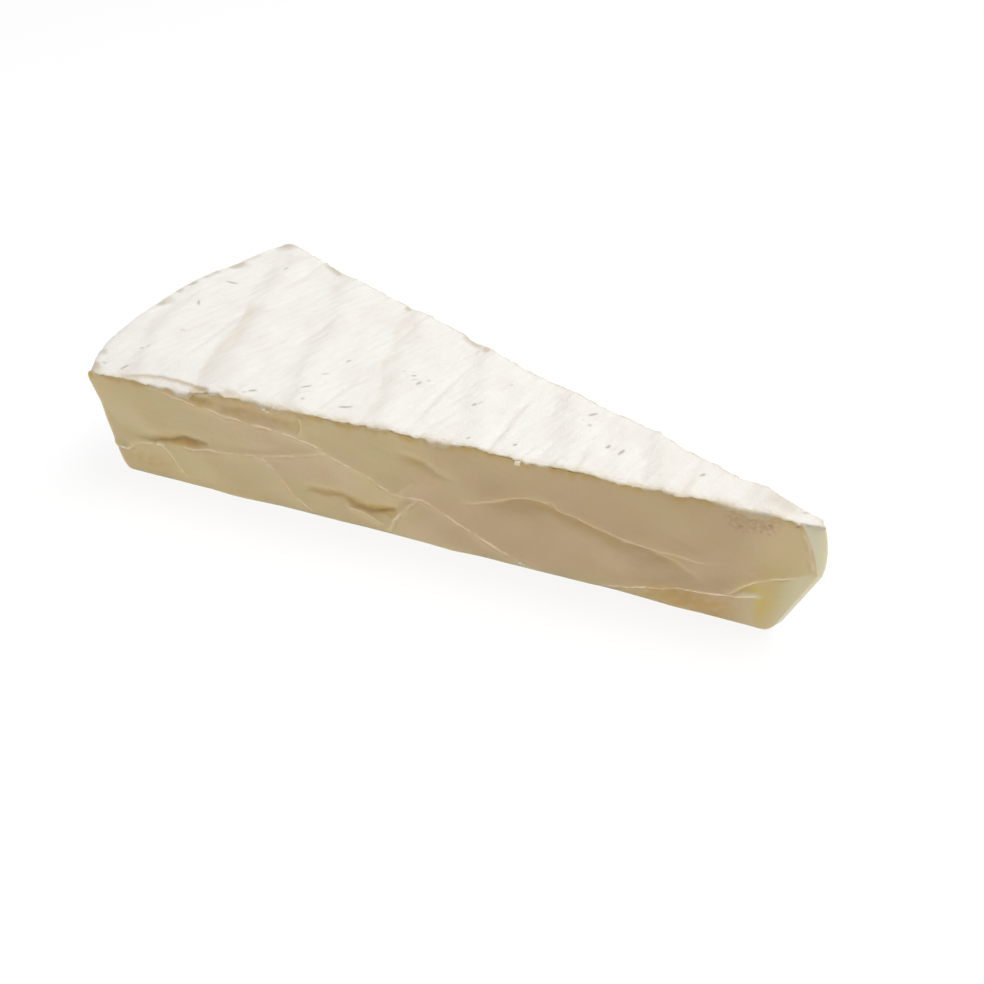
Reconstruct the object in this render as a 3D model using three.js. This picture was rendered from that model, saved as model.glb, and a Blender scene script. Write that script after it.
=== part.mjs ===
// Double cream brie: a long narrow wedge cut out of a large flat wheel. Cheese and rind are one solid.
// Millimetres, +Z up. The wedge lies on its flat underside, with the wheel's rim towards -X, the nose
// at the wheel's middle towards +X, and the creased cut that shows towards -Y.
//
// Places on a cut are given as a pair: the distance from the wheel's middle, and the height above the
// underside.

import * as THREE from 'three';
import { mergeVertices } from 'three/addons/utils/BufferGeometryUtils.js';

// The wheel and the slice cut out of it
const HEIGHT = 33.2; // underside to top, away from the rim
const RIM_DISTANCE = 177.6; // wheel's middle to the middle of the rim
const RIM_CURVE = 108; // radius of the rim in plan, which bulges more than a true circle
const WEDGE_ANGLE = THREE.MathUtils.degToRad(24.8);

// How the ripe cheese has settled
const SHOULDER_DROP = 0.5; // the top sinks by this towards the rim
const SHOULDER_EDGE_DROP = 1.6; // and by this more along the front cut
const SHOULDER_EDGE_REACH = 7; // less with distance from the cut
const SHOULDER_START = 110; // distance from the middle at which the sinking begins
const TIP_RISE = 0.8; // it rises by this towards the nose
const TIP_RISE_REACH = [40, 80]; // wholly within the first distance of the middle
const TIP_DROP = 0.3; // and sinks a little at its very end
const TIP_DROP_REACH = 12;
const RIM_LEAN = 1.8; // the rim's foot stands in by this
const RIM_TOP_RADIUS = 3;
const RIM_FOOT_RADIUS = 1.6;
const RIM_FLAT = { at: 20, reach: 9, depth: 1.6 }; // a flatter place, towards the back cut
const CORNER_RADIUS = 6; // in plan, the rim's front corner is worn back over this width
const CORNER_SHARE = 0.36; // by this share of a full rounding
const CUT_EDGE_RADIUS = 0.7;

// The blunt nose, squashed in handling
const NOSE_SPREAD = 4; // extra length of wedge that the nose is as wide as
const NOSE_SPREAD_REACH = 30;
const NOSE_OVERHANG = 1.8; // it pokes past the wheel's middle by this at its fullest
const NOSE_FULL_HEIGHT = 20;
const NOSE_TOP_RETREAT = 3.3; // and stands back by this at the top
const NOSE_FOOT_RETREAT = 4.6; // and by this at the underside
const NOSE_FOOT_RADIUS = 3; // where it also rounds in, by a share of a full rounding
const NOSE_FOOT_SHARE = 0.7;
const NOSE_ROUNDING = 1; // how far its corners stand back in plan
const FACET_SETBACK = 3.6; // the facet pressed into its upper front corner
const BACK_BULGE = { at: 11, reach: 8, depth: 1.2 }; // the back cut stands out beside the nose

// Soft slanting ridges that the maturing mat left across the top, steeper towards the rim
const BAND_PITCH = 22.6;
const BAND_START = -154.4;
const BAND_SLANT = 0.43; // shift along the wedge for each millimetre across
const BAND_HEIGHT = 0.3;
const BAND_SKEW = 0.8;

// Creases that the slats under the mat left straight across it
const SLATS = [-152.4, -131.4, -110.8, -90, -71, -51.6, -30];
const SLAT_DEPTH = 0.35;
const SLAT_WIDTH = 1.6;

// Creases that the wrapping pressed into the two cuts. Each is a raised seam along a line; where step
// isn't 0 the cheese below the line stands out (or back) by it, less with distance.
const FRONT_CREASES = [
  {
    line: [[153, 29.7], [137, 27.1], [115, 25], [99.5, 19.3], [89, 14.7], [75, 9], [58.5, 0.5]],
    rise: 0.7, width: 1.6, step: 0.35,
  },
  { line: [[150, 13.2], [128, 15.8], [108, 22.3]], rise: 0.6, width: 1.5, step: 0.25 },
  { line: [[129.5, 16.2], [123, 13], [119, 6.4], [114.5, 1.2]], rise: 0.45, width: 1.4, step: 0 },
  { line: [[153.4, 13], [150.4, 7.6], [147.8, 2]], rise: 0.4, width: 1.4, step: 0 },
  { line: [[169.5, 8], [162, 9.6], [153.2, 13.4]], rise: 0.5, width: 1.4, step: 0 },
  { line: [[94.4, 0.6], [91.3, 7.5], [86.8, 13.4]], rise: 0.8, width: 1.5, step: 0 },
  { line: [[76.5, 16.4], [57.5, 23], [43, 19.2], [28, 17], [18, 17]], rise: 0.6, width: 1.6, step: -0.9 },
  { line: [[42.5, 0.6], [28, 6.1], [9.3, 10.1]], rise: 0.7, width: 1.5, step: -0.7 },
  { line: [[15.4, 9.2], [11, 14], [0.8, 19.5]], rise: 0.6, width: 1.5, step: -0.5 },
];
const BACK_CREASES = [
  { line: [[166, 24], [138, 13.5], [112, 9], [96, 0.5]], rise: 0.7, width: 1.6, step: 0.35 },
  { line: [[131, 31.5], [118, 22], [108, 8.5]], rise: 0.6, width: 1.5, step: 0.3 },
  { line: [[104, 27], [79, 24.5], [58, 15.5], [40, 13]], rise: 0.6, width: 1.6, step: -0.8 },
  { line: [[72, 1], [52, 6.5], [33, 4]], rise: 0.6, width: 1.5, step: -0.5 },
  { line: [[34, 27], [22, 18], [6, 16.5]], rise: 0.5, width: 1.5, step: -0.5 },
];
const STEP_REACH = 6;
const LINE_SEGMENTS = 16;

// Hollows pulled into the cuts: place, half length and half height, tilt and depth
const FRONT_HOLLOWS = [
  { at: [149.5, 15.2], half: [8, 2], tilt: -11, depth: 1.5 },
  { at: [110, 9], half: [7, 2], tilt: -11, depth: 1.1 },
  { at: [97, 8.2], half: [6, 2.4], tilt: 0, depth: 1.6 },
  { at: [139, 30], half: [3.5, 1.6], tilt: 0, depth: 0.5 },
  { at: [130, 29], half: [5, 2], tilt: 0, depth: 0.4 },
  { at: [120, 28.6], half: [6.5, 2.2], tilt: -5, depth: 0.4 },
  { at: [87, 25.6], half: [5.5, 1.8], tilt: 18, depth: 0.6 },
  { at: [11.4, 11.8], half: [2.6, 1.6], tilt: -15, depth: 0.9 },
];
const BACK_HOLLOWS = [
  { at: [150, 21.4], half: [9, 2.6], tilt: 18, depth: 1.4 },
  { at: [121, 10], half: [7, 2.8], tilt: -10, depth: 1.3 },
  { at: [86, 29], half: [11, 2.2], tilt: 0, depth: 1 },
  { at: [64, 9.6], half: [6, 2.4], tilt: 12, depth: 1.1 },
];

// The slow unevenness of cut, rim and torn rind edge: wavelengths, in millimetres, and heights
const CUT_WAVES = [[61, 0.35], [27, 0.22]];
const RIM_WAVES = [[31, 0.25], [13, 0.15]];
const LIP_WAVES = [[17, 0.3], [7.3, 0.35]];
const WAVE_PHASE = 1.7; // where each wave after the first starts, in radians
const LIP_DEPTH = 1.6; // how far below the top the rind's torn edge reaches
const FOOT_CALM = 3; // the cuts run straight along the underside, and are uneven above this height
const NOSE_CALM = 12; // and smooth where the nose is thinnest, nearer the middle than this
const RIM_CALM = [3, 12]; // and smooth beside the rim: wholly within the first distance of it

// Faces of the mesh: along the wedge, across it, up the wall, and over the rim's rounded top edge
const ALONG = 88;
const ACROSS = 18;
const WALL_ROWS = 12;
const TOP_EDGE_ROWS = 4;
const FOOT_LEVELS = [0, 0.45, RIM_FOOT_RADIUS];
const FAN_STEPS = 12; // steps along the wedge that the fan at each end of the underside takes

const SLOPE = Math.tan(WEDGE_ANGLE / 2);

// Sum of sines along a place, each wave started at its own phase
function waves(list, place) {
  const wave = ([length, size], i) => size * Math.sin((2 * Math.PI * place) / length + WAVE_PHASE * i);
  return list.map(wave).reduce((sum, height) => sum + height);
}

// Creases with their lines rounded into curves once, so that a point's distance is quick to find
function smoothLines(creases) {
  return creases.map((crease) => {
    const corners = crease.line.map(([along, up]) => new THREE.Vector3(along, up, 0));
    return { ...crease, path: new THREE.CatmullRomCurve3(corners).getPoints(LINE_SEGMENTS) };
  });
}

const FRONT = { side: -1, creases: smoothLines(FRONT_CREASES), hollows: FRONT_HOLLOWS };
const BACK = { side: 1, creases: smoothLines(BACK_CREASES), hollows: BACK_HOLLOWS };

// Distance from a point to a path, and whether the point lies below it
function nearest(path, point) {
  const closest = new THREE.Vector3();
  let best = { distance: Infinity, below: 0 };
  for (let i = 0; i < path.length - 1; i += 1) {
    new THREE.Line3(path[i], path[i + 1]).closestPointToPoint(point, true, closest);
    const distance = closest.distanceTo(point);
    if (distance < best.distance) best = { distance, below: closest.y - point.y };
  }
  return best;
}

// How far a cut stands out at a place on it: slow waves, seams, the steps below them, and hollows
function cutRelief(cut, along, up) {
  const point = new THREE.Vector3(along, up, 0);
  let relief = waves(CUT_WAVES, along + cut.side * up);
  for (const { path, rise, width, step } of cut.creases) {
    const { distance, below } = nearest(path, point);
    relief += rise * Math.exp(-((distance / width) ** 2));
    relief += step * THREE.MathUtils.smoothstep(below, 0, width) * Math.exp(-((distance / STEP_REACH) ** 2));
  }
  for (const { at, half, tilt, depth } of cut.hollows) {
    const turned = new THREE.Vector2(along - at[0], up - at[1]);
    turned.rotateAround(new THREE.Vector2(), THREE.MathUtils.degToRad(-tilt));
    const away = (turned.x / half[0]) ** 2 + (turned.y / half[1]) ** 2;
    relief -= depth * Math.exp(-(away ** 1.5));
  }
  return relief;
}

// Half the wedge's width at a distance from the wheel's middle
function halfWidth(distance) {
  return SLOPE * (distance + NOSE_SPREAD * Math.exp(-distance / NOSE_SPREAD_REACH));
}

// A bell curve of the distance between a place and the middle of a flat or bulge
function swell({ at, reach, depth }, place) {
  return depth * Math.exp(-(((place - at) / reach) ** 2));
}

// Height of the top at a place in plan: level, less the sunk shoulder, plus the risen tip and the mat's
// ridges, less the slats' creases
function topHeight(x, y) {
  const inside = (y + halfWidth(-x)) / SHOULDER_EDGE_REACH;
  const sunk = SHOULDER_DROP + SHOULDER_EDGE_DROP * Math.exp(-(inside ** 2));
  const shoulder = sunk * THREE.MathUtils.smoothstep(-x, SHOULDER_START, RIM_DISTANCE);
  const risen = TIP_RISE * (1 - THREE.MathUtils.smoothstep(-x, ...TIP_RISE_REACH));
  const tip = risen - TIP_DROP * Math.exp(Math.min(x, 0) / TIP_DROP_REACH);
  const turn = (2 * Math.PI * (x + BAND_SLANT * y - BAND_START)) / BAND_PITCH;
  const ridge = -BAND_HEIGHT * Math.cos(turn + BAND_SKEW * (1 - Math.cos(turn)));
  const creases = SLATS.reduce((sum, at) => sum + Math.exp(-(((x - at) / SLAT_WIDTH) ** 2)), 0);
  return HEIGHT - shoulder + tip + ridge - SLAT_DEPTH * creases;
}

// How far an edge rounded by a radius stands back, at a distance short of the face it turns into
function rounding(radius, short) {
  const left = Math.max(radius - short, 0);
  return radius - Math.sqrt(radius ** 2 - left ** 2);
}

// Distance of the nose's front from the wheel's middle at a height, and its corners' set-back
function noseDistance(across, up) {
  const over = Math.max(up - NOSE_FULL_HEIGHT, 0) / (HEIGHT - NOSE_FULL_HEIGHT);
  const under = Math.max(NOSE_FULL_HEIGHT - up, 0) / NOSE_FULL_HEIGHT;
  const foot = NOSE_FOOT_RETREAT * under + NOSE_FOOT_SHARE * rounding(NOSE_FOOT_RADIUS, up);
  const facet = across < 0 ? FACET_SETBACK * over : 0;
  return -NOSE_OVERHANG + NOSE_TOP_RETREAT * over ** 2 + foot + (NOSE_ROUNDING + facet) * Math.abs(across);
}

// Distance of the rim's skin from the wheel's middle: an arc in plan with a flatter place, leaning in
// towards the foot, with its top, its foot and its front corner rounded off, and a slow waviness between
function rimDistance(across, up) {
  const y = across * halfWidth(RIM_DISTANCE);
  const arc = RIM_DISTANCE - y ** 2 / (2 * RIM_CURVE) - swell(RIM_FLAT, y) - RIM_LEAN * (1 - up / HEIGHT);
  const edges = rounding(RIM_TOP_RADIUS, HEIGHT - up) + rounding(RIM_FOOT_RADIUS, up);
  const corner = CORNER_SHARE * rounding(CORNER_RADIUS, y + halfWidth(RIM_DISTANCE));
  return arc - edges - corner + waves(RIM_WAVES, y) * Math.sin((Math.PI * up) / HEIGHT) * (1 - across ** 2);
}

// A point of the solid: along runs from 0 at the rim to 1 at the nose, across from -1 at the front
// cut to 1 at the back cut, and up is the height that it would have under a level top
function wedgePoint(along, across, up) {
  const distance = THREE.MathUtils.lerp(rimDistance(across, up), noseDistance(across, up), along);
  const edgeBack = rounding(CUT_EDGE_RADIUS, HEIGHT - up) + rounding(CUT_EDGE_RADIUS, up);
  const lip = THREE.MathUtils.smoothstep(up, HEIGHT - LIP_DEPTH, HEIGHT) * waves(LIP_WAVES, distance);
  const thin = THREE.MathUtils.smoothstep(distance, -NOSE_OVERHANG, NOSE_CALM);
  const [rimCalm, rimFree] = RIM_CALM;
  const calm = THREE.MathUtils.smoothstep(up, -FOOT_CALM, FOOT_CALM)
    * THREE.MathUtils.smoothstep(RIM_DISTANCE - distance, rimCalm, rimFree);
  const half = halfWidth(distance) - edgeBack * thin;
  const [front, back] = [FRONT, BACK].map((cut) => {
    const height = (up / HEIGHT) * topHeight(-distance, cut.side * halfWidth(distance));
    const bulge = cut.side > 0 ? swell(BACK_BULGE, distance) : 0;
    return cut.side * (half + bulge + thin * (lip + calm * cutRelief(cut, distance, height)));
  });
  const y = THREE.MathUtils.lerp(front, back, (1 + across) / 2);
  return new THREE.Vector3(-distance, y, (up / HEIGHT) * topHeight(-distance, y));
}

// Triangles of a grid of points, turned so that its front is the side seen with columns running
// right and rows running up
function grid(columns, rows, pointAt) {
  const corners = [];
  for (let j = 0; j <= rows; j += 1) {
    corners.push(Array.from({ length: columns + 1 }, (_, i) => pointAt(i, j)));
  }
  const triangles = [];
  for (let j = 0; j < rows; j += 1) {
    for (let i = 0; i < columns; i += 1) {
      const [a, b] = [corners[j][i], corners[j][i + 1]];
      const [c, d] = [corners[j + 1][i + 1], corners[j + 1][i]];
      triangles.push(a, b, c, a, c, d);
    }
  }
  return triangles;
}

// Heights of the wall's rows: the rounded foot, the even middle and the rim's rounded top edge
function wallLevels() {
  const foot = FOOT_LEVELS;
  const low = foot.at(-1);
  const high = HEIGHT - RIM_TOP_RADIUS;
  const middle = Array.from({ length: WALL_ROWS }, (_, i) => {
    return THREE.MathUtils.lerp(low, high, (i + 1) / WALL_ROWS);
  });
  const edge = Array.from({ length: TOP_EDGE_ROWS }, (_, i) => {
    return high + RIM_TOP_RADIUS * Math.sin((Math.PI / 2) * ((i + 1) / TOP_EDGE_ROWS));
  });
  return [...foot, ...middle, ...edge];
}

// The flat underside: a fan of triangles round a point near each end, and bands across in between
function underside() {
  const foot = (side) => Array.from({ length: ALONG + 1 }, (_, i) => wedgePoint(i / ALONG, side, 0));
  const end = (along, turn) => Array.from({ length: ACROSS + 1 }, (_, i) => {
    return wedgePoint(along, turn * (-1 + (2 * i) / ACROSS), 0);
  });
  const fan = (hub, loop) => loop.slice(1).flatMap((point, i) => [hub, point, loop[i]]);
  const [front, back] = [foot(-1), foot(1)];
  const [near, far] = [FAN_STEPS, ALONG - FAN_STEPS];
  const rim = [...back.slice(0, near + 1).reverse(), ...end(0, -1).slice(1), ...front.slice(1, near + 1)];
  const nose = [...front.slice(far), ...end(1, 1).slice(1), ...back.slice(far, ALONG).reverse()];
  const triangles = [
    ...fan(wedgePoint(near / 2 / ALONG, 0, 0), [...rim, rim[0]]),
    ...fan(wedgePoint((ALONG + far) / 2 / ALONG, 0, 0), [...nose, nose[0]]),
  ];
  for (let i = near; i < far; i += 1) {
    triangles.push(front[i], back[i], back[i + 1], front[i], back[i + 1], front[i + 1]);
  }
  return triangles;
}

function wedgeGeometry() {
  const levels = wallLevels();
  const rows = levels.length - 1;
  const span = (i) => i / ALONG;
  const side = (i) => -1 + (2 * i) / ACROSS;
  const triangles = [
    ...grid(ALONG, rows, (i, j) => wedgePoint(span(i), -1, levels[j])),
    ...grid(ACROSS, rows, (i, j) => wedgePoint(1, side(i), levels[j])),
    ...grid(ALONG, rows, (i, j) => wedgePoint(span(ALONG - i), 1, levels[j])),
    ...grid(ACROSS, rows, (i, j) => wedgePoint(0, side(ACROSS - i), levels[j])),
    ...grid(ALONG, ACROSS, (i, j) => wedgePoint(span(i), side(j), HEIGHT)),
    ...underside(),
  ];
  const geometry = mergeVertices(new THREE.BufferGeometry().setFromPoints(triangles), 1e-3);
  geometry.computeBoundingBox();
  const middle = geometry.boundingBox.getCenter(new THREE.Vector3());
  geometry.translate(-middle.x, -middle.y, 0);
  geometry.computeVertexNormals();
  return geometry;
}

const cheese = new THREE.MeshStandardMaterial({ color: 0xf2ead6, roughness: 0.62, metalness: 0 });
const wedge = new THREE.Mesh(wedgeGeometry(), cheese);
wedge.name = 'brie_wedge';

const brie = new THREE.Group();
brie.add(wedge);

export default brie;
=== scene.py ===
"""Double cream brie: a long narrow wedge of soft ripened cheese, cut out of a large flat wheel.

The paste is one closed body with the creases that the wrapping pressed into its cuts. The white
mould rind is a second closed body, wrapped over the top, the rim and the underside, with a torn edge
along each cut. Shapes are worked out in millimetres from the wheel's middle, which is the point that
the two cuts run to, and are placed in the model's own frame as they become meshes.
"""
import math

import bpy
import numpy as np
from bpy.props import FloatProperty, FloatVectorProperty, PointerProperty
from bpy.types import Operator, Panel, PropertyGroup
from mathutils import Matrix, Vector


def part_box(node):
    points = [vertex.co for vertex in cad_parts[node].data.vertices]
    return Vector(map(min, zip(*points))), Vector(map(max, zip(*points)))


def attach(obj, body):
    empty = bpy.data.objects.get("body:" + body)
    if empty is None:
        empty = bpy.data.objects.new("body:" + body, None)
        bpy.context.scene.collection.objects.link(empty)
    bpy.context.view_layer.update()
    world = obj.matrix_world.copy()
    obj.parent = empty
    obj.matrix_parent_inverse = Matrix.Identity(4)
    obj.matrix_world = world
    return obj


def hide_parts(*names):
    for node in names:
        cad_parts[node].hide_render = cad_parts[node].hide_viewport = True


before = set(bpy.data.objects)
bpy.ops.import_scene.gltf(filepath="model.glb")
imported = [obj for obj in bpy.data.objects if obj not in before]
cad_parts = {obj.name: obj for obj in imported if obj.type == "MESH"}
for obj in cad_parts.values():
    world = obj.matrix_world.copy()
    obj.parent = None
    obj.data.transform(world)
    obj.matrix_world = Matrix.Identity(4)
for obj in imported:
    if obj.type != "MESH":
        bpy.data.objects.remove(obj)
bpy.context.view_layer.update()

bl_info = {
    "name": "Double Cream Brie Wedge",
    "version": (1, 0, 0),
    "blender": (4, 5, 0),
    "location": "View3D > Sidebar > Brie",
    "description": "Builds a wedge of soft cheese with a bloomy rind, its crumbs and a plain stage",
    "category": "Mesh",
}

NODE = "brie_wedge"
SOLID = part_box(NODE)
MM = 0.001
# Distance kept by places that no thread or nick comes near
FAR = 9.0

# The wheel and the slice, in millimetres
HEIGHT = 33.2
RIM_DISTANCE = 177.6
RIM_CURVE = 108.0
RIM_FLAT = (20.0, 9.0, 1.6)
CORNER_RADIUS = 6.0
CORNER_SHARE = 0.36
SLOPE = math.tan(math.radians(24.8) / 2)
SHOULDER_DROP = 0.5
SHOULDER_EDGE_DROP = 1.6
SHOULDER_EDGE_REACH = 7.0
SHOULDER_START = 110.0
TIP_RISE = 0.8
TIP_RISE_REACH = (80.0, 40.0)
TIP_DROP = 0.3
TIP_DROP_REACH = 12.0
RIM_LEAN = 1.8
RIM_TOP_RADIUS = 3.0
RIM_FOOT_RADIUS = 1.6

# The blunt nose
NOSE_SPREAD = 4.0
NOSE_SPREAD_REACH = 30.0
NOSE_OVERHANG = 1.8
NOSE_FULL_HEIGHT = 20.0
NOSE_TOP_RETREAT = 3.3
NOSE_FOOT_RETREAT = 4.6
NOSE_FOOT_RADIUS = 3.0
NOSE_ROUNDING = 1.0
FACET_SETBACK = 3.6
BACK_BULGE = (11.0, 8.0, 1.2)
# The wheel's middle in the model's frame, in metres: the nose's front stands out past it
WHEEL_MIDDLE = (SOLID[1].x - NOSE_OVERHANG * MM, (SOLID[0].y + SOLID[1].y) / 2, SOLID[0].z)

# Slanting ridges left by the cloth of the maturing mat, and the slats' creases straight across
BAND_PITCH = 22.6
BAND_START = -154.4
BAND_SLANT = 0.43
BAND_HEIGHT = 0.3
BAND_SKEW = 0.8
BAND_WANDER = 0.2
SLATS = ((-152.4, 0.6), (-131.4, 0.7), (-110.8, 0.6), (-90, 0.8), (-71, 1), (-51.6, 0.8), (-30, 1))
SLAT_DEPTH = 0.42
SLAT_WIDTH = 1.0
# Places where the mat pressed hardest and the mould is thin: along, across, radius, strength
PRESSED = (
    (-162, 17, 5, 0.35), (-151, 0, 7, 0.85), (-147, -11, 6, 0.75), (-142, -22, 5, 0.5), (-141, 21, 5, 0.5),
    (-114, 15, 7, 0.5), (-108, 2, 6, 0.35), (-99, -13, 5, 0.35), (-117, -19, 4, 0.25), (-62, 4, 7, 0.2),
)

# Raised and sunk lines on the cuts. A row holds the line's points from rim to nose as (distance from
# the wheel's middle, height), how far it stands out, the widths over which that falls away above and
# below it, and how strongly a pale thread of smeared paste, lightened as a painted highlight on the
# crest, shows on it
FRONT_CREASES = (
    (((153, 29.7), (145, 28.5), (137, 27.1), (130, 26.3), (122, 25.5), (115, 25), (108, 22.7),
     (99.5, 19.3), (90.5, 14.6), (87, 14.9), (75, 9), (64, 3.2), (58.5, 0.5)), 0.35, 2.6, 1.3, 1),
    (((150, 13.2), (142, 14), (128, 15.8), (115, 19.5), (108, 22.3)), 0.3, 1.3, 2.2, 0.7),
    (((129.5, 16.2), (125.5, 15.1), (123, 13), (119, 6.4), (114.5, 1.2)), 0.25, 1.3, 1.3, 0.8),
    (((153.4, 13), (152, 11), (150.4, 7.6), (147.8, 2)), 0.25, 1.3, 1.3, 0.7),
    (((169.5, 8), (166.5, 8.4), (164, 8.2), (162.6, 9.4)), 0.5, 1.4, 0.5, 1),
    (((163.4, 9), (160.6, 11), (156.4, 12.2), (154, 12.8), (151.2, 13.8)), 0.4, 1.8, 0.5, 0.35),
    (((155, 12), (153.8, 12.8), (152.6, 13.4), (151.4, 12.8)), 0.4, 0.7, 0.5, 1),
    (((171, 23), (168, 19.6), (164.6, 15.8), (160, 12.4)), -0.2, 1.5, 2.2, 0),
    (((160, 12.9), (155, 13.6), (150.6, 14.6), (146, 15.2), (142.6, 15.4), (139.4, 15.4)),
     -0.75, 1.7, 0.3, 0),
    (((150.6, 14.8), (147, 15.4), (143.5, 15.6), (139.8, 15.4)), -0.5, 1.5, 0.3, 0),
    (((117, 7.4), (112, 8.6), (107, 9), (102.6, 7.8)), -0.5, 1.7, 0.6, 0),
    (((105, 8.4), (102, 7.3), (99, 6.4), (96, 7.2), (93, 9), (91, 10.8)), -0.85, 1.6, 0.5, 0),
    (((105, 6), (101.5, 6.3), (98.4, 5), (95.4, 2.4)), 0.5, 0.9, 1.6, 0.6),
    (((94.4, 0.6), (93.3, 3.6), (91.3, 7.5), (89, 10.9), (86.8, 13.4)), 0.6, 1.1, 0.9, 0.8),
    (((91.4, 15.2), (89, 17.2), (86.6, 20)), 0.25, 1.2, 1.2, 0.35),
    (((92, 26.8), (88, 25.8), (85, 25.2), (81.6, 23.4), (77.6, 22.8)), -0.45, 1.4, 0.9, 0),
    (((84.5, 28.5), (83.6, 24), (84, 20)), -0.2, 2, 2, 0),
    (((76.5, 16.4), (68, 20), (63, 22.1), (57.5, 23), (51, 21.5), (43, 19.2), (36, 17.7), (28, 17),
     (18, 17)), 0.6, 4, 0.6, 0.15),
    (((75, 15.6), (68, 18.6), (63, 20.6), (57.5, 21.5), (51, 20), (43, 17.7), (36, 16.2), (28, 15.4)),
     -0.8, 0.6, 3.4, 0),
    (((57, 22.4), (55.5, 22.8), (54, 22)), -1, 0.5, 0.7, 0),
    (((38, 16.8), (31, 14.7), (25.5, 12.6), (20.5, 9.4)), -0.5, 1, 2.2, 0),
    (((42.5, 0.6), (37, 2.6), (32, 4.8), (28, 6.1), (17, 8.3), (9.3, 10.1)), 0.7, 2.8, 0.45, 1),
    (((15.4, 9.2), (13.5, 11.6), (11, 14), (8, 15.9), (4, 17.8), (0.8, 19.5)), 0.5, 2, 0.5, 0.8),
    (((13.4, 11.3), (12, 12), (10.6, 12.4), (9.2, 11.8)), -0.12, 1.2, 0.8, 0),
    (((4.7, 31.6), (2.6, 27.6), (1.3, 24.8), (-0.2, 21)), 0, 1, 1, 0.4),
    (((9.3, 9.6), (8.1, 5), (6.7, 0.4)), 0.2, 1.6, 1.2, 0),
    (((143, 30.4), (139.5, 29.8), (135.5, 30.2)), -0.55, 1.3, 0.8, 0),
    (((135, 29), (130, 28.7), (125, 29.4)), -0.35, 1.6, 1.4, 0),
    (((126, 28.2), (120, 28.6), (114.2, 29)), -0.4, 2.2, 1.6, 0),
    (((113.4, 31.8), (113.6, 28.6), (114.4, 25.6)), 0.45, 1.2, 0.3, 0.4),
)
BACK_CREASES = (
    (((168, 24.6), (150, 20), (138, 13.5), (124, 11), (112, 9), (96, 0.5)), 0.35, 2.4, 1.3, 1),
    (((133, 31.5), (124, 27), (118, 22), (112, 12), (108, 8.5)), 0.3, 1.4, 2, 0.7),
    (((160, 8), (151, 5), (143, 0.6)), 0.2, 1.5, 1.5, 0.6),
    (((158, 22.6), (154, 24), (148, 23.4), (143, 20.6)), -1.7, 0.5, 1.8, 0),
    (((130, 11.6), (124, 13.2), (118, 12.6), (113, 10.8)), -1.6, 0.5, 2, 0),
    (((104, 27), (92, 26.6), (79, 24.5), (66, 19), (58, 15.5), (40, 13)), 0.65, 4, 0.5, 0.3),
    (((102, 25.4), (79, 22.8), (64, 16.8), (48, 12.6)), -0.9, 0.6, 3.4, 0),
    (((72, 1), (62, 5.4), (52, 6.5), (33, 4)), 0.6, 2.6, 0.5, 0.9),
    (((70, 10.5), (64, 11.6), (58, 9.6)), -1.2, 0.6, 1.8, 0),
    (((92, 31), (86, 30.2), (77, 30.6)), -1.1, 1.4, 2, 0),
    (((34, 27), (28, 22.4), (22, 18), (6, 16.5)), 0.5, 2.2, 0.5, 0.8),
    (((31, 24), (24, 17.6), (12, 14.6)), -0.6, 0.7, 2.6, 0),
)
FOOT_CALM = 3.0
NOSE_CALM = 12.0
CUT_WAVES = ((61, 0.35), (27, 0.22))
# How far from the rim a cut's relief has gone, and how far from it the relief starts to fade
RIM_CALM = (3.0, 12.0)
RIM_WAVES = ((31, 0.25), (13, 0.15))
WAVE_PHASE = 1.7

# Pits where a crumb of paste tore out: distance, height, radius
PITS = (
    (16.6, 28.7, 0.4), (14.6, 31.6, 0.3), (12.9, 32.3, 0.25), (11.2, 31, 0.35), (12.1, 30.2, 0.2),
    (93, 15.6, 0.35), (17.9, 30.6, 0.2), (13.8, 29.3, 0.2),
)
PIT_DEPTH = 0.35
# Where a thread of smeared paste ends in a wide blob: distance, height, half length, half height
SMEARS = ((11.3, 9.8, 2.2, 1.1), (152.8, 13.2, 0.9, 0.8))

# Golden patches on the front cut, partly painted shade in the hollows and under the rind's lip and
# partly moist yellow paste: distance, height, half length, half height, strength
GOLDEN_AND_SHADE = (
    (150.5, 15, 8, 1.3, 0.55), (145, 15.9, 4.5, 1.2, 0.6), (109, 9, 6.5, 1.3, 0.7), (98, 7.8, 7, 1.6, 1),
    (94.4, 8.2, 3, 1.6, 0.8), (159, 5, 9, 3.6, 0.6), (106, 4, 11, 2.4, 0.2), (139.4, 30, 3.4, 1.3, 1),
    (130, 28.9, 5.5, 2, 0.6), (119.6, 29, 6.4, 2.4, 0.5), (87.6, 25.8, 3.6, 1.1, 0.5),
    (64, 3.6, 7, 2, 0.2), (23, 3.6, 11, 3.6, 1.2), (138, 1.4, 14, 2.2, 0.3),
    (11.3, 12, 2.2, 1.2, 0.45),
)
# Smooth yellow moisture near the nose, in the same terms
MOIST = ((11.2, 12.2, 2.2, 1.4, 1), (7.4, 7, 3.4, 7, 1), (6, 22, 6, 11, 0.3))
# The moist place ends sharply at a crease that runs down from the seam and, below a height, leans
# towards the nose by a share of the drop
MOIST_END = (9.9, 9.1)
MOIST_LEAN = 0.29
LEAN_BELOW = 9.6
SEAM_HEIGHT = (9.8, 10.6)
# Height of the nose's seam, below which the paste is paler, partly a painted glow of light shining
# through the thin nose: distance, height
NOSE_SEAM = ((0.6, 20), (3.7, 17.5), (8.8, 15.3), (12.3, 13), (15.5, 8.8))
# A rosy, crumbly patch beside the pits: distance, height, half length, half height. The cut is
# rosy along a longer reach
ROSY = (14.4, 30.4, 4.8, 2.6)
ROSY_REACH = (9.0, 18.0, 60.0, 100.0)

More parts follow.
